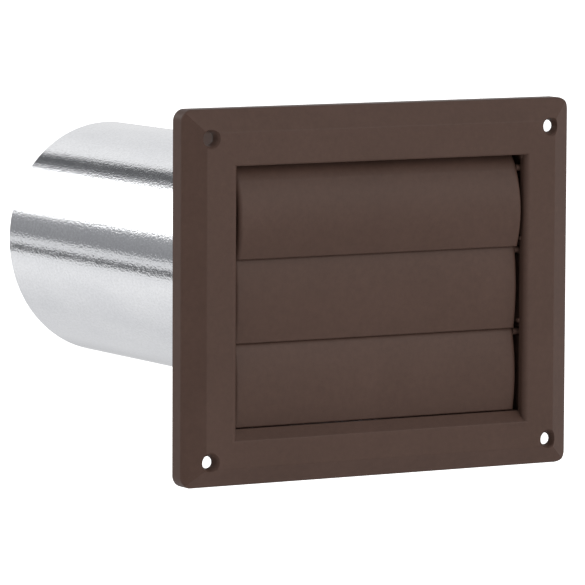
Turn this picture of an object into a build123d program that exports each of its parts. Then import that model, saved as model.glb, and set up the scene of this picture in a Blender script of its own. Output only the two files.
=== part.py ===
# Louvred wall vent with a round tail pipe.
# Units: millimetres.
# Frame: X to the right seen from outdoors, Y into the wall, Z up.
# The origin is the centre of the wall plane, where the rim of the face
# flange seats on the wall. The flange and louvres stand out to -Y and the
# air box, collar and tail pipe reach into the wall along +Y.

import os
from math import atan2, cos, degrees, pi, radians, sin, sqrt

from build123d import *

os.makedirs("parts", exist_ok=True)

# ---------------------------------------------------------------- dimensions
# face flange: a shallow pan, open at the back
FLANGE_W = 182.0          # overall width
FLANGE_H = 152.0          # overall height
FLANGE_CORNER_R = 4.8     # corner radius seen from the front
RIM_DEPTH = 7.0           # straight side wall, from the wall plane forward
FACE_DEPTH = 12.0         # wall plane to the flat face
BEVEL_SIDE = 9.1          # width of the sloped band at the left and right
BEVEL_TOP = 9.2
BEVEL_BOTTOM = 7.6
RIM_WALL = 2.2
FACE_WALL = 2.3

# opening in the face and the air box behind it
OPEN_HALF_W = 67.7
OPEN_TOP = 53.1
OPEN_BOTTOM = -57.5
JAMB_DEPTH = 4.2          # depth of the opening's side walls, from the face back
OPEN_SIDE_R = 2.4         # soft front edge of those side walls
CAVITY_HALF_W = 70.2      # the air box is wider inside than the opening
BOX_WALL = 2.2
BOX_TOP = 66.0            # outside of the box
BOX_BOTTOM = -59.5
BOX_BACK = 20.0           # outside of the back wall
HEADER_DEPTH = 6.0        # return lip above the opening, from the face back

# sloped sill under the bottom louvre: (y, z) of its section
SILL = [
    (-12.0, -57.5), (-7.5, -53.25), (-3.4, -53.2), (-2.0, -54.1),
    (-2.0, -59.5), (-4.2, -59.5), (-4.2, -56.15), (-9.7, -58.9),
    (-12.0, -59.4),
]

# corner screw holes, sunk from the front: a soft dish, then a steep cone
HOLE_X = 80.0
HOLE_Z = 65.0
HOLE_DZ = -0.5            # the pattern sits a little low on the face
HOLE_D = 4.9
HOLE_SINK_D = 8.3         # mouth of the dish
HOLE_CONE_D = 6.7         # top of the cone
HOLE_CONE_AT = 0.9        # depth of the dish
HOLE_SINK_DEPTH = 3.3     # depth of the foot of the cone
HOLE_LAND = 0.8           # length of the straight hole under the cone
HOLE_BOSS_D = 10.4        # boss behind the face that carries the recess

# round outlet
PIPE_Z = 2.9              # height of the pipe axis
PIPE_OD = 101.6
PIPE_WALL = 0.5
PIPE_START = BOX_BACK     # the pipe's end butts on the back wall
PIPE_END = 226.4          # cut end, measured on the pipe axis
END_SLOPE_X = 0.060       # the cut is a little out of square: its y rises
END_SLOPE_Z = 0.035       # by these amounts per mm of x and of z
COLLAR_R = 50.22          # outside of the moulded collar, inside the pipe
COLLAR_WALL = 2.2
COLLAR_END = 46.0
SEAM_ANGLE = -28.0        # from +X, on the side away from the light
SEAM_HALF_ARC = 3.6       # half width of the folded lock seam, degrees
SEAM_DEPTH = 1.3          # the fold stands inside the pipe

# louvres: one hinge line each, near the top edge
PITCH = 34.0
PIN_Z = {"top": 47.5, "middle": 13.5, "bottom": -20.5}
PIN_Y = {"top": -6.0, "middle": -5.2, "bottom": -4.6}
SHIFT_X = -0.15           # end play: the louvres hang a little to the left
# front skin: y and z, from the hinge line, at its top, middle and lip
SKIN_Y = {
    "top": (-7.9, -11.5, -9.0),
    "middle": (-6.9, -8.3, -6.8),
    "bottom": (-6.1, -8.0, -6.6),
}
SKIN_Z = {
    "top": (-0.5, -16.5, -31.9),
    "middle": (0.8, -16.5, -31.9),
    "bottom": (-0.6, -16.5, -31.9),
}
# the skin ends this far above the hinge line, and this far behind its level there
TOP_RISE = {"top": 6.6, "middle": 4.2, "bottom": 3.2}
TOP_BACK = {"top": 5.1, "middle": 2.6, "bottom": 3.2}
LOUVRE_HALF = 66.65
LOUVRE_END_R = 1.9        # rounding of the front at both ends
LOUVRE_T = 1.2
CHEEK_T = 1.6
CHEEK_BACK = 2.2          # the end cheek reaches this far behind the chord
PIN_R = 1.35
SOCKET_R = 1.40
PIN_TIP = 71.9
LUG_X = 67.15             # inner face of the stop lugs


# ------------------------------------------------------------------- helpers
def slab(x0, x1, y0, y1, z0, z1):
    """Axis-parallel block between two corners."""
    return Pos((x0 + x1) / 2, (y0 + y1) / 2, (z0 + z1) / 2) * Box(
        abs(x1 - x0), abs(y1 - y0), abs(z1 - z0))


def rect_at(depth, x0, x1, z0, z1):
    """Rectangle in the plane y = -depth."""
    p = Plane.XZ.offset(depth)
    return p * Pos((x0 + x1) / 2, (z0 + z1) / 2) * Rectangle(x1 - x0, z1 - z0)


def rod_y(x, z, r, y0, y1):
    """Solid cylinder along Y."""
    return Pos(x, (y0 + y1) / 2, z) * Rot(90, 0, 0) * Cylinder(r, abs(y1 - y0))


def rod_x(y, z, r, x0, x1):
    """Solid cylinder along X."""
    return Pos((x0 + x1) / 2, y, z) * Rot(0, 90, 0) * Cylinder(r, abs(x1 - x0))


def strip(points, x0, x1):
    """Closed polygon of (y, z) points, extruded along X."""
    face = Plane.YZ * make_face(Polyline(*points, close=True))
    return Pos(x0, 0, 0) * extrude(face, amount=x1 - x0)


# ------------------------------------------------------------------- housing
def make_housing():
    hw, hh = FLANGE_W / 2, FLANGE_H / 2
    fx = hw - BEVEL_SIDE
    ft, fb = hh - BEVEL_TOP, -hh + BEVEL_BOTTOM

    # outer form: straight rim, then a mitred bevel up to the flat face
    rim = extrude(rect_at(0, -hw, hw, -hh, hh), amount=RIM_DEPTH)
    crown = loft([
        rect_at(RIM_DEPTH, -hw, hw, -hh, hh).face(),
        rect_at(FACE_DEPTH, -fx, fx, fb, ft).face(),
    ])
    outer = rim + crown
    # the corners are rounded right through rim and bevel
    plan = extrude(
        Plane.XZ * RectangleRounded(FLANGE_W, FLANGE_H, FLANGE_CORNER_R),
        amount=FACE_DEPTH)
    outer = outer & plan

    # pan cavity, parallel to the outside
    cw, ch = hw - RIM_WALL, hh - RIM_WALL
    d1, d2 = RIM_DEPTH - 1.4, FACE_DEPTH - FACE_WALL
    cav = extrude(
        Plane.XZ * RectangleRounded(2 * cw, 2 * ch, FLANGE_CORNER_R - RIM_WALL),
        amount=d1)
    cav += loft([
        rect_at(d1, -cw + 1.2, cw - 1.2, -ch + 1.2, ch - 1.2).face(),
        rect_at(d2, -fx + 0.6, fx - 0.6, fb + 0.6, ft - 0.6).face(),
    ])
    body = outer - cav

    # soft moulded edges of the rim, the bevel crease and the opening
    rim_edges = [
        e for e in body.edges()
        if abs(e.center().Y + RIM_DEPTH) < 1.2
        and (abs(abs(e.center().X) - hw) < 2.2 or abs(abs(e.center().Z) - hh) < 2.2)
        and e.bounding_box().size.Y < 4.0
        and e.center().Y < -d1 - 0.2
    ]
    body = fillet(rim_edges, 1.1)
    face_edges = [
        e for e in body.edges()
        if abs(e.center().Y + FACE_DEPTH) < 1e-4 and e.bounding_box().size.Y < 1e-4
    ]
    body = fillet(face_edges, 1.2)

    # stiffening ribs inside the pan, trimmed to the outer form
    rib = 1.6
    for x in (-45.0, 45.0):
        body += slab(x - rib / 2, x + rib / 2, -FACE_DEPTH + 1.0, -1.5,
                     64.5, hh - 1.0) & outer
        body += slab(x - rib / 2, x + rib / 2, -FACE_DEPTH + 1.0, -1.5,
                     -hh + 1.0, -58.5) & outer
    for z in (-28.0, 34.0):
        for s in (-1, 1):
            body += slab(s * 69.0, s * (hw - 1.0), -FACE_DEPTH + 1.0, -1.5,
                         z - rib / 2, z + rib / 2) & outer

    # air box
    bx = CAVITY_HALF_W + BOX_WALL
    box_front = -FACE_DEPTH + FACE_WALL - 0.5
    box = slab(-bx, bx, box_front, BOX_BACK, BOX_BOTTOM, BOX_TOP)
    body += box
    # hollow of the box
    body -= slab(-CAVITY_HALF_W, CAVITY_HALF_W, -FACE_DEPTH + FACE_WALL,
                 BOX_BACK - BOX_WALL, BOX_BOTTOM + BOX_WALL, BOX_TOP - BOX_WALL)
    # the side walls of the opening
    for s in (-1, 1):
        body += slab(s * OPEN_HALF_W, s * (CAVITY_HALF_W + 0.5), -FACE_DEPTH + 1.0,
                     -FACE_DEPTH + JAMB_DEPTH, BOX_BOTTOM + 0.5, BOX_TOP - 0.5)
    # opening through the face
    body -= slab(-OPEN_HALF_W, OPEN_HALF_W, -FACE_DEPTH - 2, 0,
                 OPEN_BOTTOM, OPEN_TOP)
    # under the sill the box floor starts behind the sill's web
    body -= slab(-CAVITY_HALF_W, CAVITY_HALF_W, -FACE_DEPTH + FACE_WALL, -2.1,
                 BOX_BOTTOM - 0.2, OPEN_BOTTOM + 1.0)
    body += strip(SILL, -bx, bx)
    # return lip above the opening
    body += slab(-bx, bx, -FACE_DEPTH + 1.0, -FACE_DEPTH + HEADER_DEPTH,
                 OPEN_TOP, OPEN_TOP + BOX_WALL)

    # collar and outlet
    body += rod_y(0, PIPE_Z, COLLAR_R, BOX_BACK - 1.0, COLLAR_END)
    body -= rod_y(0, PIPE_Z, COLLAR_R - COLLAR_WALL, BOX_BACK - 5.0, COLLAR_END + 1)
    # lead-in chamfer on the collar mouth
    cone = Pos(0, COLLAR_END - 1.0, PIPE_Z) * Rot(-90, 0, 0) * Cone(
        COLLAR_R + 0.01, COLLAR_R - 0.9, 2.0)
    ring = rod_y(0, PIPE_Z, COLLAR_R + 2, COLLAR_END - 2.0, COLLAR_END + 0.5)
    body -= ring - cone
    # slot in the collar where the pipe's folded seam passes
    a = SEAM_HALF_ARC + 1.1
    slot = slab(COLLAR_R - 4.0, COLLAR_R + 2, BOX_BACK, COLLAR_END + 1,
                -sin(radians(a)) * COLLAR_R, sin(radians(a)) * COLLAR_R)
    body -= Pos(0, 0, PIPE_Z) * Rot(0, -SEAM_ANGLE, 0) * slot

    # hinge sockets and stop lugs in both side walls
    for k in ("top", "middle", "bottom"):
        y, z = PIN_Y[k], PIN_Z[k]
        for s in (-1, 1):
            body += slab(s * LUG_X, s * (CAVITY_HALF_W + 0.5), y - 3.4, y - 1.7,
                         z + 4.2, z + 5.6)
            solid_before = body.volume
            body -= rod_x(y, z, SOCKET_R, s * (CAVITY_HALF_W - 1.5), s * (bx + 1.5))
            if solid_before - body.volume < 8:
                raise ValueError("a hinge socket was not cut")

    # corner screw holes, in short bosses
    r0, rc, r1 = HOLE_SINK_D / 2, HOLE_CONE_D / 2, HOLE_D / 2
    boss_back = -FACE_DEPTH + HOLE_SINK_DEPTH + HOLE_LAND
    profile = Plane.XY * make_face(Polyline(
        (0, -FACE_DEPTH - 2), (r0, -FACE_DEPTH - 2), (r0, -FACE_DEPTH),
        (rc, -FACE_DEPTH + HOLE_CONE_AT),
        (r1, -FACE_DEPTH + HOLE_SINK_DEPTH), (r1, -5.2), (0, -5.2), close=True))
    drill = revolve(profile, axis=Axis.Y, revolution_arc=360)
    for sx in (-1, 1):
        for sz in (-1, 1):
            body += rod_y(sx * HOLE_X, sz * HOLE_Z + HOLE_DZ, HOLE_BOSS_D / 2,
                          -FACE_DEPTH + 0.8, boss_back) & outer
            solid_before = body.volume
            body -= Pos(sx * HOLE_X, 0, sz * HOLE_Z + HOLE_DZ) * drill
            if solid_before - body.volume < 50:
                raise ValueError("a corner screw hole was not cut")

    # eased front edges of the opening, rounder at the sides
    def open_edges(upright):
        return [
            e for e in body.edges()
            if abs(e.center().Y + FACE_DEPTH) < 1e-4
            and e.bounding_box().size.Y < 1e-4
            and (e.bounding_box().size.Z if upright else e.bounding_box().size.X) > 60
            and abs(e.center().X) < 69 and abs(e.center().Z) < 60
        ]
    body = fillet(open_edges(True), OPEN_SIDE_R)
    body = fillet(open_edges(False), 0.8)
    return body


# -------------------------------------------------------------------- louvre
def circle3(a, b, c):
    """Centre and radius of the circle through three points."""
    ax, ay = a
    bx, by = b
    cx, cy = c
    d = 2 * (ax * (by - cy) + bx * (cy - ay) + cx * (ay - by))
    ux = ((ax**2 + ay**2) * (by - cy) + (bx**2 + by**2) * (cy - ay)
          + (cx**2 + cy**2) * (ay - by)) / d
    uy = ((ax**2 + ay**2) * (cx - bx) + (bx**2 + by**2) * (ax - cx)
          + (cx**2 + cy**2) * (bx - ax)) / d
    return (ux, uy), sqrt((ax - ux) ** 2 + (ay - uy) ** 2)


def on(c, r, a):
    return (c[0] + r * cos(a), c[1] + r * sin(a))


def louvre_curves(k):
    """Centres, radii and angles of the two tangent arcs of the front skin."""
    z0 = PIN_Z[k]
    pts = [(SKIN_Y[k][i], z0 + SKIN_Z[k][i]) for i in range(3)]
    c1, r1 = circle3(*pts)
    top = (SKIN_Y[k][0] + TOP_BACK[k], z0 + TOP_RISE[k])
    a = pts[0]
    n = ((c1[0] - a[0]) / r1, (c1[1] - a[1]) / r1)   # from the skin to the centre
    dx, dy = top[0] - a[0], top[1] - a[1]
    r2 = (dx * dx + dy * dy) / (2 * (dx * n[0] + dy * n[1]))
    c2 = (a[0] + r2 * n[0], a[1] + r2 * n[1])

    def ang(c, p):
        t = atan2(p[1] - c[1], p[0] - c[0])
        return t if t > 0 else t + 2 * pi
    return c1, r1, ang(c1, pts[0]), ang(c1, pts[2]), c2, r2, ang(c2, top), ang(c2, a)


def end_cutter(c, r, start, end, s, xe):
    """What lies outside a quarter round at the end xe (s: -1 left, 1 right) of an
    arc of radius r about the centre c, swept from the start to the end angle."""
    q = LOUVRE_END_R
    plane = Plane(origin=(0, c[0], c[1]), x_dir=(1, 0, 0),
                  z_dir=(0, -sin(start), cos(start)))
    h = sqrt(0.5) * q
    outline = [
        ThreePointArc((xe - s * q, r), (xe - s * (q - h), r - q + h), (xe, r - q)),
        Line((xe, r - q), (xe + s * 0.6, r - q)),
        Line((xe + s * 0.6, r - q), (xe + s * 0.6, r + 0.6)),
        Line((xe + s * 0.6, r + 0.6), (xe - s * q, r + 0.6)),
        Line((xe - s * q, r + 0.6), (xe - s * q, r)),
    ]
    return revolve(plane * make_face(outline),
                   axis=Axis((0, c[0], c[1]), (1, 0, 0)),
                   revolution_arc=degrees(end - start))


def make_louvre(k):
    y0, z0 = PIN_Y[k], PIN_Z[k]
    c1, r1, a1, b1, c2, r2, a2, b2 = louvre_curves(k)
    t = LOUVRE_T

    def arc(c, r, s, e):
        return ThreePointArc(on(c, r, s), on(c, r, (s + e) / 2), on(c, r, e))

    # skin section: front arcs, rounded lip, back arcs, rounded top
    front = [arc(c2, r2, a2, b2), arc(c1, r1, a1, b1)]
    back = [arc(c1, r1 - t, b1, a1), arc(c2, r2 - t, b2, a2)]
    lip_mid = on(c1, r1 - t / 2, b1)
    tl = (-sin(b1), cos(b1))
    lip = ThreePointArc(on(c1, r1, b1),
                        (lip_mid[0] + tl[0] * t / 2, lip_mid[1] + tl[1] * t / 2),
                        on(c1, r1 - t, b1))
    top_mid = on(c2, r2 - t / 2, a2)
    tt = (sin(a2), -cos(a2))
    cap = ThreePointArc(on(c2, r2 - t, a2),
                        (top_mid[0] + tt[0] * t / 2, top_mid[1] + tt[1] * t / 2),
                        on(c2, r2, a2))
    x0, x1 = -LOUVRE_HALF, LOUVRE_HALF
    skin = Plane.YZ * make_face([*front, lip, *back, cap])
    body = Pos(x0, 0, 0) * extrude(skin, amount=x1 - x0)

    # end cheeks: the front arcs closed by a straight back edge
    p_top, p_lip = on(c2, r2 - t / 2, a2), on(c1, r1 - t / 2, b1)
    yb_top = p_top[0] + 0.9
    yb_lip = p_lip[0] + CHEEK_BACK
    e = LOUVRE_T / 2                          # the cheek starts inside the skin
    outline = [
        ThreePointArc(on(c2, r2 - e, a2), on(c2, r2 - e, (a2 + b2) / 2), on(c2, r2 - e, b2)),
        ThreePointArc(on(c1, r1 - e, a1), on(c1, r1 - e, (a1 + b1) / 2), on(c1, r1 - e, b1)),
    ]
    s0, s1 = on(c2, r2 - e, a2), on(c1, r1 - e, b1)
    outline += [
        Line(s1, (yb_lip - 1.0, s1[1] + 0.2)),
        Line((yb_lip - 1.0, s1[1] + 0.2), (yb_lip, s1[1] + 1.6)),
        Line((yb_lip, s1[1] + 1.6), (yb_top, s0[1] - 0.8)),
        Line((yb_top, s0[1] - 0.8), s0),
    ]
    cheek = Plane.YZ * make_face(outline)
    body += Pos(x0, 0, 0) * extrude(cheek, amount=CHEEK_T)
    body += Pos(x1 - CHEEK_T, 0, 0) * extrude(cheek, amount=CHEEK_T)

    # the front is rounded off towards both ends, along each arc
    for s, xe in ((-1, x0), (1, x1)):
        before = body.volume
        body -= end_cutter(c1, r1, a1, b1 + 1.6 / r1, s, xe)
        body -= end_cutter(c2, r2, a2 - 1.2 / r2, b2, s, xe)
        if before - body.volume < 10:
            raise ValueError("a louvre end was not rounded")

    # two thin stiffening ribs across the back, between the cheeks
    for x in (-22.0, 22.0):
        body += Pos(x - 0.6, 0, 0) * extrude(
            Plane.YZ * make_face([
                ThreePointArc(on(c1, r1 - e, a1 + 0.05), on(c1, r1 - e, (a1 + b1) / 2),
                              on(c1, r1 - e, b1 - 0.05)),
                Line(on(c1, r1 - e, b1 - 0.05), on(c1, r1 - e, a1 + 0.05)),
            ]), amount=1.2)

    # hinge pins at both ends
    dx = SHIFT_X
    body = Pos(dx, 0, 0) * body
    body += rod_x(y0, z0, PIN_R, -PIN_TIP, x0 + dx + 0.4)
    body += rod_x(y0, z0, PIN_R, x1 + dx - 0.4, PIN_TIP)
    return body


# ----------------------------------------------------------------- tail pipe
def make_pipe():
    r = PIPE_OD / 2
    far = PIPE_END + 6.0                      # made longer, then cut to length
    pipe = rod_y(0, PIPE_Z, r, PIPE_START, far)
    pipe -= rod_y(0, PIPE_Z, r - PIPE_WALL, PIPE_START - 1, far + 1)
    # folded lock seam along the full length, standing inside the pipe
    a = SEAM_HALF_ARC
    seam = rod_y(0, 0, r - 0.1, PIPE_START, far) - rod_y(
        0, 0, r - PIPE_WALL - SEAM_DEPTH, PIPE_START - 1, far + 1)
    wedge_pts = [(0, 0), (60 * cos(radians(a)), -60 * sin(radians(a))),
                 (60 * cos(radians(a)), 60 * sin(radians(a)))]
    wedge = Pos(0, far + 1, 0) * extrude(
        Plane.XZ * make_face(Polyline(*wedge_pts, close=True)),
        amount=far - PIPE_START + 2)
    seam = seam & wedge
    pipe += Pos(0, 0, PIPE_Z) * Rot(0, -SEAM_ANGLE, 0) * seam
    # the far end, cut a little out of square
    cut = Plane(origin=(0, PIPE_END, PIPE_Z),
                z_dir=(-END_SLOPE_X, 1, -END_SLOPE_Z))
    pipe -= cut * Pos(0, 0, 20) * Box(160, 160, 40)
    return pipe


# -------------------------------------------------------------------- output
def write(name, shape):
    solids = shape.solids()
    part = solids[0] if len(solids) == 1 else Compound(children=list(solids))
    part.label = name
    export_step(part, f"parts/{name}.step")
    bb = part.bounding_box()
    print(f"{name}: solids {len(solids)} volume {part.volume:.1f} "
          f"min {bb.min.X:.2f} {bb.min.Y:.2f} {bb.min.Z:.2f} "
          f"max {bb.max.X:.2f} {bb.max.Y:.2f} {bb.max.Z:.2f}")


write("housing", make_housing())
write("louver_top", make_louvre("top"))
write("louver_middle", make_louvre("middle"))
write("louver_bottom", make_louvre("bottom"))
write("tail_pipe", make_pipe())
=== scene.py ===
import math

import bmesh
import bpy
from mathutils import Matrix, Vector, noise

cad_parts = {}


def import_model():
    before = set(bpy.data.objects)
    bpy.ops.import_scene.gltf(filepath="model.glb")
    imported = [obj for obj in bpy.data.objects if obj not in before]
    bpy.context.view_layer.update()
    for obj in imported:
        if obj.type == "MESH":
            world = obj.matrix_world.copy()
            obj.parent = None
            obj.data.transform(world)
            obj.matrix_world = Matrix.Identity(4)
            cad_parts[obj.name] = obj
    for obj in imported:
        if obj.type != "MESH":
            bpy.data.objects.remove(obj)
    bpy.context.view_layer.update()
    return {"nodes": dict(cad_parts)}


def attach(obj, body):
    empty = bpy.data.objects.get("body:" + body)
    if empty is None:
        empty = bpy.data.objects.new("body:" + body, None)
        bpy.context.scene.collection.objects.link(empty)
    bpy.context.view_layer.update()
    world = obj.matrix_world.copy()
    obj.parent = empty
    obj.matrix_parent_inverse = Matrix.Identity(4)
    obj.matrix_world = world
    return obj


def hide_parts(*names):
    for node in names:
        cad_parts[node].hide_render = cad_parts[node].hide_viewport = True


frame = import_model()
NODES = frame["nodes"]
SCENE = bpy.context.scene
MM = 0.001

# sizes repeated from the construction, in millimetres
PIPE_R, PIPE_WALL, PIPE_Z = 50.8, 0.5, 2.9
PIPE_Y0, PIPE_Y1 = 20.0, 226.4
END_SLOPE_X, END_SLOPE_Z = 0.060, 0.035
SEAM_ANGLE, SEAM_HALF, SEAM_DEPTH = -28.0, 3.6, 1.3


# ------------------------------------------------------------------ node help
class Tree:
    """A small helper that adds nodes to one tree and wires them by name."""

    def __init__(self, owner):
        owner.use_nodes = True
        self.t = owner.node_tree
        self.t.nodes.clear()

    def add(self, kind, values=None, **props):
        n = self.t.nodes.new(kind)
        for k, v in props.items():
            setattr(n, k, v)
        for k, v in (values or {}).items():
            n.inputs[k].default_value = v
        return n

    def link(self, a, out, b, into):
        self.t.links.new(a.outputs[out], b.inputs[into])

    def math(self, op, a, b=None, c=None, clamp=False):
        n = self.add("ShaderNodeMath", operation=op, use_clamp=clamp)
        for i, x in enumerate((a, b, c)):
            if x is None:
                continue
            if isinstance(x, (int, float)):
                n.inputs[i].default_value = x
            else:
                self.t.links.new(x, n.inputs[i])
        return n.outputs[0]

    def smooth(self, x, lo, hi):
        """0 below lo, 1 above hi, smooth between."""
        n = self.add("ShaderNodeMapRange", {"From Min": lo, "From Max": hi},
                     interpolation_type="SMOOTHSTEP")
        self.t.links.new(x, n.inputs["Value"])
        return n.outputs["Result"]

    def ramp(self, fac, stops, mode="LINEAR"):
        n = self.add("ShaderNodeValToRGB")
        r = n.color_ramp
        r.interpolation = mode
        while len(r.elements) > 1:
            r.elements.remove(r.elements[-1])
        r.elements[0].position, r.elements[0].color = stops[0][0], stops[0][1]
        for p, c in stops[1:]:
            e = r.elements.new(p)
            e.color = c
        self.t.links.new(fac, n.inputs["Fac"])
        return n.outputs["Color"]

    def mix(self, fac, a, b, blend="MIX"):
        n = self.add("ShaderNodeMix", data_type="RGBA", blend_type=blend)
        for sock, x in ((n.inputs[0], fac), (n.inputs[6], a), (n.inputs[7], b)):
            if isinstance(x, (int, float)):
                sock.default_value = x
            elif isinstance(x, (tuple, list)):
                sock.default_value = x
            else:
                self.t.links.new(x, sock)
        return n.outputs[2]


def grey(v, a=1.0):
    return (v, v, v, a)


# ------------------------------------------------------------------ materials
def plastic_material():
    """Satin moulded plastic, brown, with a fine grain, faint flow mottling and a
    trace of pale dust in the grain."""
    mat = bpy.data.materials.new("brown_moulded_plastic")
    t = Tree(mat)
    out = t.add("ShaderNodeOutputMaterial")
    sh = t.add("ShaderNodeBsdfPrincipled", {
        "Metallic": 0.0, "IOR": 1.47, "Specular IOR Level": 0.18})
    t.link(sh, "BSDF", out, "Surface")
    co = t.add("ShaderNodeTexCoord")

    def noise_tex(scale, detail, rough, dist=0.0):
        n = t.add("ShaderNodeTexNoise", {
            "Scale": scale, "Detail": detail, "Roughness": rough, "Distortion": dist})
        t.link(co, "Object", n, "Vector")
        return n.outputs["Fac"]

    flow = noise_tex(26.0, 3.0, 0.55, 0.6)
    mottle = noise_tex(420.0, 2.0, 0.6)
    grain = noise_tex(2300.0, 2.0, 0.55)

    # colour: two close browns by the flow noise, then a trace of grain
    base = t.ramp(flow, [
        (0.30, (0.0658, 0.0376, 0.0290, 1)),
        (0.52, (0.0695, 0.0399, 0.0309, 1)),
        (0.72, (0.0736, 0.0425, 0.0332, 1))])
    fine = t.ramp(mottle, [(0.25, grey(0.93)), (0.75, grey(1.07))])
    speck = t.ramp(grain, [(0.30, grey(0.95)), (0.72, grey(1.05))])
    c = t.mix(1.0, base, fine, "MULTIPLY")
    c = t.mix(1.0, c, speck, "MULTIPLY")
    t.t.links.new(c, sh.inputs["Base Color"])

    r = t.math("MULTIPLY_ADD", grain, 0.10, 0.38)
    r = t.math("MULTIPLY_ADD", flow, 0.08, r)
    t.t.links.new(r, sh.inputs["Roughness"])

    b1 = t.add("ShaderNodeBump", {"Strength": 0.35, "Distance": 0.00004})
    t.t.links.new(grain, b1.inputs["Height"])
    b2 = t.add("ShaderNodeBump", {"Strength": 0.25, "Distance": 0.00006})
    t.t.links.new(mottle, b2.inputs["Height"])
    t.link(b1, "Normal", b2, "Normal")
    t.link(b2, "Normal", sh, "Normal")
    return mat


def metal_material():
    """Bright sheet aluminium: finely pebbled, drawn a little along its length."""
    mat = bpy.data.materials.new("bright_sheet_aluminium")
    t = Tree(mat)
    out = t.add("ShaderNodeOutputMaterial")
    sh = t.add("ShaderNodeBsdfPrincipled", {"Metallic": 1.0, "IOR": 1.45})
    t.link(sh, "BSDF", out, "Surface")
    co = t.add("ShaderNodeTexCoord")

    def noise_tex(stretch, scale, detail, rough, dist=0.0):
        m = t.add("ShaderNodeMapping")
        m.inputs["Scale"].default_value = stretch
        t.link(co, "Object", m, "Vector")
        n = t.add("ShaderNodeTexNoise", {
            "Scale": scale, "Detail": detail, "Roughness": rough, "Distortion": dist})
        t.link(m, "Vector", n, "Vector")
        return n.outputs["Fac"]

    pebble = noise_tex((1.0, 0.55, 1.0), 1150.0, 1.5, 0.55)
    patch = noise_tex((1.0, 0.4, 1.0), 60.0, 3.0, 0.55)
    streak = noise_tex((1.0, 0.03, 1.0), 900.0, 2.0, 0.5)

    c = t.ramp(patch, [(0.30, (0.842, 0.850, 0.872, 1)), (0.70, (0.900, 0.906, 0.922, 1))])
    fine = t.ramp(pebble, [(0.30, grey(0.93)), (0.70, grey(1.03))])
    c = t.mix(1.0, c, fine, "MULTIPLY")
    t.t.links.new(c, sh.inputs["Base Color"])

    r = t.math("MULTIPLY_ADD", pebble, 0.05, 0.045)
    r = t.math("MULTIPLY_ADD", patch, 0.03, r)
    # the inside of the tube is duller than the outside
    sep = t.add("ShaderNodeSeparateXYZ")
    t.link(co, "Object", sep, "Vector")
    dx = sep.outputs["X"]
    dz = t.math("SUBTRACT", sep.outputs["Z"], PIPE_Z * MM)
    rad = t.math("SQRT", t.math("ADD", t.math("MULTIPLY", dx, dx), t.math("MULTIPLY", dz, dz)))
    inside = t.math("LESS_THAN", rad, (PIPE_R - 0.45) * MM)
    r = t.math("MULTIPLY_ADD", inside, 0.62, r)
    t.t.links.new(r, sh.inputs["Roughness"])

    b1 = t.add("ShaderNodeBump", {"Strength": 1.0, "Distance": 0.000046})
    t.t.links.new(pebble, b1.inputs["Height"])
    b2 = t.add("ShaderNodeBump", {"Strength": 0.15, "Distance": 0.00003})
    t.t.links.new(streak, b2.inputs["Height"])
    t.link(b1, "Normal", b2, "Normal")
    t.link(b2, "Normal", sh, "Normal")
    return mat


def floor_material():
    mat = bpy.data.materials.new("pale_studio_floor")
    t = Tree(mat)
    out = t.add("ShaderNodeOutputMaterial")
    sh = t.add("ShaderNodeBsdfPrincipled", {"Roughness": 0.9, "Specular IOR Level": 0.1})
    co = t.add("ShaderNodeTexCoord")
    n = t.add("ShaderNodeTexNoise", {"Scale": 3.0, "Detail": 3.0})
    t.link(co, "Object", n, "Vector")
    c = t.ramp(n.outputs["Fac"], [(0.3, grey(0.93)), (0.7, grey(0.95))])
    t.t.links.new(c, sh.inputs["Base Color"])
    # white to the eye, a softer glow from below for the object
    lp = t.add("ShaderNodeLightPath")
    glow = t.mix(lp.outputs["Is Camera Ray"], grey(0.30), grey(0.85))
    t.t.links.new(glow, sh.inputs["Emission Color"])
    sh.inputs["Emission Strength"].default_value = 1.0
    t.link(sh, "BSDF", out, "Surface")
    return mat


PLASTIC = plastic_material()
METAL = metal_material()


def dress(obj, mat):
    obj.data.materials.clear()
    obj.data.materials.append(mat)
    for p in obj.data.polygons:
        p.material_index = 0


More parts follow.
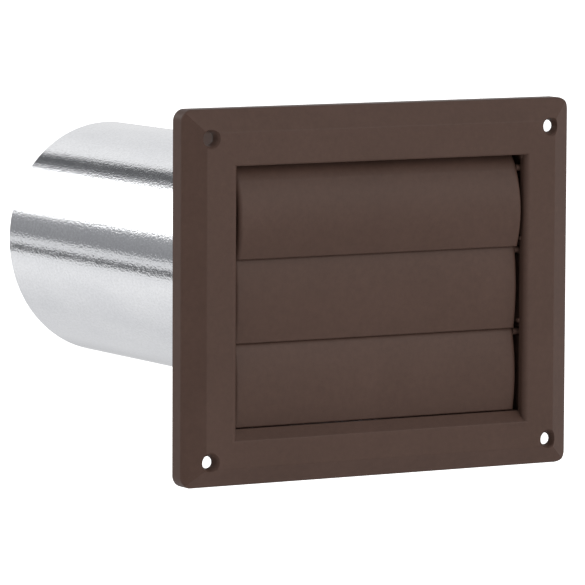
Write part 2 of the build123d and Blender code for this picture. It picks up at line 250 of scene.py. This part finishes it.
# ------------------------------------------------------------------ tail pipe
def make_pipe():
    """Rolled sheet tube with a folded lock seam that stands inside, a fine
    crease outside, softened cut ends and the faint flats of a rolled sheet."""
    seam = math.radians(SEAM_ANGLE)
    half = math.radians(SEAM_HALF)

    def outer_r(a, y):
        d = (a - seam + math.pi) % (2 * math.pi) - math.pi
        r = PIPE_R - 0.004
        # crease where the sheet folds under, at one side of the seam
        r -= 0.26 * math.exp(-((d - half) / math.radians(0.35)) ** 2)
        # the locked layers lie a little flat
        r -= 0.10 * max(0.0, 1 - (d / (1.6 * half)) ** 2)
        grip = min(1.0, max(0.0, (y - 52.0) / 30.0))
        w = noise.noise(Vector((math.cos(a) * 1.7, math.sin(a) * 1.7, y * 0.011)))
        w2 = noise.noise(Vector((math.cos(a) * 4.5 + 7, math.sin(a) * 4.5, y * 0.02)))
        r -= grip * (0.05 * (0.5 + 0.5 * w) + 0.015 * (0.5 + 0.5 * w2))
        return r

    def inner_r(a, y):
        d = (a - seam + math.pi) % (2 * math.pi) - math.pi
        s = min(1.0, max(0.0, (half - abs(d)) / math.radians(0.55)))
        fold = SEAM_DEPTH * (s * s * (3 - 2 * s))
        base = outer_r(a, y) - PIPE_WALL + 0.004
        crease = 0.26 * math.exp(-((d - half) / math.radians(0.35)) ** 2) \
            + 0.10 * max(0.0, 1 - (d / (1.6 * half)) ** 2)
        return base + crease - fold

    angles = []
    n = 240
    for i in range(n):
        angles.append(2 * math.pi * i / n)
    for i in range(-36, 37):                      # closer steps round the seam
        angles.append((seam + math.radians(i * 0.18)) % (2 * math.pi))
    angles = sorted(set(round(a, 6) for a in angles))
    keep = [angles[0]]
    for a in angles[1:]:
        if a - keep[-1] > math.radians(0.12):
            keep.append(a)
    angles = keep

    c = 0.09                                      # softened cut edge
    ys = [PIPE_Y0, PIPE_Y0 + c] + [
        PIPE_Y0 + 2 + i * (PIPE_Y1 - PIPE_Y0 - 4) / 44 for i in range(45)
    ] + [PIPE_Y1 - c, PIPE_Y1]

    bm = bmesh.new()

    def loop(y, rf, dr):
        """One ring: the rings lean over gradually to meet the slanted cut."""
        ring = []
        for a in angles:
            rr = rf(a, y) + dr
            lx, lz = rr * math.cos(a), rr * math.sin(a)
            lean = (END_SLOPE_X * lx + END_SLOPE_Z * lz) * (y - PIPE_Y0) / (PIPE_Y1 - PIPE_Y0)
            ring.append(bm.verts.new((lx * MM, (y + lean) * MM, (PIPE_Z + lz) * MM)))
        return ring

    outer = [loop(y, outer_r, -c if y in (PIPE_Y0, PIPE_Y1) else 0.0) for y in ys]
    inner = [loop(y, inner_r, c if y in (PIPE_Y0, PIPE_Y1) else 0.0) for y in ys]
    m = len(angles)

    def skin(a, b):
        for i in range(m):
            j = (i + 1) % m
            bm.faces.new((a[i], a[j], b[j], b[i]))

    for k in range(len(ys) - 1):
        skin(outer[k], outer[k + 1])
        skin(inner[k + 1], inner[k])
    skin(inner[0], outer[0])
    skin(outer[-1], inner[-1])
    bmesh.ops.recalc_face_normals(bm, faces=bm.faces[:])
    me = bpy.data.meshes.new("tail_pipe_sheet")
    bm.to_mesh(me)
    bm.free()
    for p in me.polygons:
        p.use_smooth = True
    me.set_sharp_from_angle(angle=math.radians(38))
    o = bpy.data.objects.new("tail_pipe_sheet", me)
    SCENE.collection.objects.link(o)
    dress(o, METAL)
    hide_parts("tail_pipe")
    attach(o, "housing")
    return o


# ------------------------------------------------------------------- assembly
for name in ("housing", "louver_top", "louver_middle", "louver_bottom"):
    dress(NODES[name], PLASTIC)
make_pipe()
dress(NODES["tail_pipe"], METAL)


# --------------------------------------------------------------------- studio
def floor():
    bm = bmesh.new()
    n, half = 16, 40.0
    g = [[bm.verts.new((-half + 2 * half * i / n, -half + 2 * half * j / n, 0.0))
          for i in range(n + 1)] for j in range(n + 1)]
    for j in range(n):
        for i in range(n):
            bm.faces.new((g[j][i], g[j][i + 1], g[j + 1][i + 1], g[j + 1][i]))
    me = bpy.data.meshes.new("studio_floor")
    bm.to_mesh(me)
    bm.free()
    o = bpy.data.objects.new("studio_floor", me)
    SCENE.collection.objects.link(o)
    o.location = (0, 0, -0.55)
    dress(o, floor_material())
    o.visible_glossy = False
    return o


def world():
    """Soft white studio. Behind the object long soft panels lie parallel to the
    pipe, with dark gaps between them; in front is an even light, a little
    stronger from above and from the right."""
    w = bpy.data.worlds.new("studio")
    SCENE.world = w
    t = Tree(w)
    out = t.add("ShaderNodeOutputWorld")
    bg = t.add("ShaderNodeBackground", {"Strength": 1.0})
    t.link(bg, "Background", out, "Surface")
    co = t.add("ShaderNodeTexCoord")
    sep = t.add("ShaderNodeSeparateXYZ")
    t.link(co, "Generated", sep, "Vector")
    x, y, z = sep.outputs["X"], sep.outputs["Y"], sep.outputs["Z"]

    # angle about the Y axis in degrees: 0 right, 90 up, 180 left, 270 down
    a = t.math("ARCTAN2", z, x)
    a = t.math("MULTIPLY", a, 180 / math.pi)
    a = t.math("WRAP", a, 330.0, -30.0)           # -30 ... 330

    def pos(deg):
        return (deg + 30.0) / 360.0

    fac = t.math("MULTIPLY_ADD", a, 1 / 360.0, 30.0 / 360.0)
    # the darker panels are a little bluer
    back = t.ramp(fac, [(pos(p), (v * (0.93 + 0.07 * min(v, 1.0)),
                                  v * (0.95 + 0.05 * min(v, 1.0)), v, 1.0)) for p, v in (
        (-30, 0.66), (-12, 0.78), (20, 0.82), (40, 0.80), (60, 0.81), (70, 0.85),
        (80, 0.885), (90.3, 0.88), (92.6, 0.13), (103, 0.12), (107.5, 0.34),
        (112, 1.1), (116, 2.3), (153, 2.3), (160, 1.1), (162.5, 0.37), (169, 0.325),
        (182.3, 0.275), (184.8, 0.74), (191, 0.76), (194.0, 0.10), (197.0, 0.10),
        (200.0, 0.82), (209, 0.88), (217, 0.88), (228, 0.82), (245, 0.755),
        (256, 0.715), (300, 0.715), (313, 0.66), (330, 0.58))])
    # in front: even, a little stronger from the right, with a soft bank above
    f = t.math("MULTIPLY_ADD", t.smooth(z, -0.8, 0.2), 0.13, 0.27)
    f = t.math("MULTIPLY_ADD", t.smooth(x, -0.6, 0.9), 0.30, f)
    f = t.math("MULTIPLY_ADD", t.smooth(z, 0.25, 0.60), 0.24, f)
    # a narrow light far round to the left
    left = t.math("MULTIPLY", t.smooth(x, -0.80, -0.97), 0.10)
    f = t.math("ADD", f, left)
    front = t.add("ShaderNodeCombineColor")
    for k in ("Red", "Green", "Blue"):
        t.t.links.new(f, front.inputs[k])
    side = t.smooth(y, 0.05, 0.45)
    # the panels behind are there for reflections; they light little else
    lp = t.add("ShaderNodeLightPath")
    matt = t.math("GREATER_THAN", lp.outputs["Diffuse Depth"], 0.5)
    wide = t.math("ABSOLUTE", x)
    dim = t.math("MULTIPLY_ADD", t.smooth(wide, 0.55, 0.90), 1.00, 0.08)
    back = t.mix(matt, back, dim)
    c = t.mix(side, front.outputs["Color"], back)
    # what the camera sees directly is plain white
    c = t.mix(lp.outputs["Is Camera Ray"], c, grey(1.0))
    t.t.links.new(c, bg.inputs["Color"])


def area(name, loc, target, size, power, colour=(1, 1, 1)):
    d = bpy.data.lights.new(name, "AREA")
    d.shape = "RECTANGLE"
    d.size, d.size_y = size
    d.energy = power
    d.color = colour
    o = bpy.data.objects.new(name, d)
    SCENE.collection.objects.link(o)
    o.location = loc
    o.rotation_mode = "QUATERNION"
    o.rotation_quaternion = (Vector(target) - Vector(loc)).to_track_quat("-Z", "Y")
    return o


floor()
world()
area("right_softbox", (2.3, -1.8, 0.6), (0, 0, 0), (1.3, 1.3), 9.0, (1.0, 0.98, 0.94))
area("high_softbox", (1.1, -2.4, 1.25), (0, 0, 0), (0.9, 0.9), 12.5, (1.0, 0.97, 0.91))
area("front_softbox", (0.3, -2.95, 0.50), (0, 0, 0), (1.2, 1.2), 13.0, (1.0, 0.99, 0.97))
area("left_rim_light", (-2.6, 1.0, 0.5), (0, 0, 0), (0.8, 0.8), 14.0, (1.0, 0.96, 0.90))

# camera: the photograph's viewing angle
CAM = Vector((-1.122419, -1.892509, 0.222722))
AZ, EL, ROLL = math.radians(29.864), math.radians(5.828), math.radians(0.254)
cd = bpy.data.cameras.new("camera")
cam = bpy.data.objects.new("camera", cd)
SCENE.collection.objects.link(cam)
d = Vector((math.sin(AZ) * math.cos(EL), math.cos(AZ) * math.cos(EL), -math.sin(EL)))
r = Vector((math.cos(AZ), -math.sin(AZ), 0))
u = r.cross(d)
r2 = math.cos(ROLL) * r + math.sin(ROLL) * u
u2 = -math.sin(ROLL) * r + math.cos(ROLL) * u
cam.matrix_world = Matrix((
    (r2.x, u2.x, -d.x, CAM.x), (r2.y, u2.y, -d.y, CAM.y),
    (r2.z, u2.z, -d.z, CAM.z), (0, 0, 0, 1)))
cd.sensor_width = 36.0
cd.lens = 5423.8 * 36.0 / 585.0
cd.clip_start, cd.clip_end = 0.05, 200.0
SCENE.camera = cam

SCENE.view_settings.view_transform = "Standard"
SCENE.view_settings.look = "None"
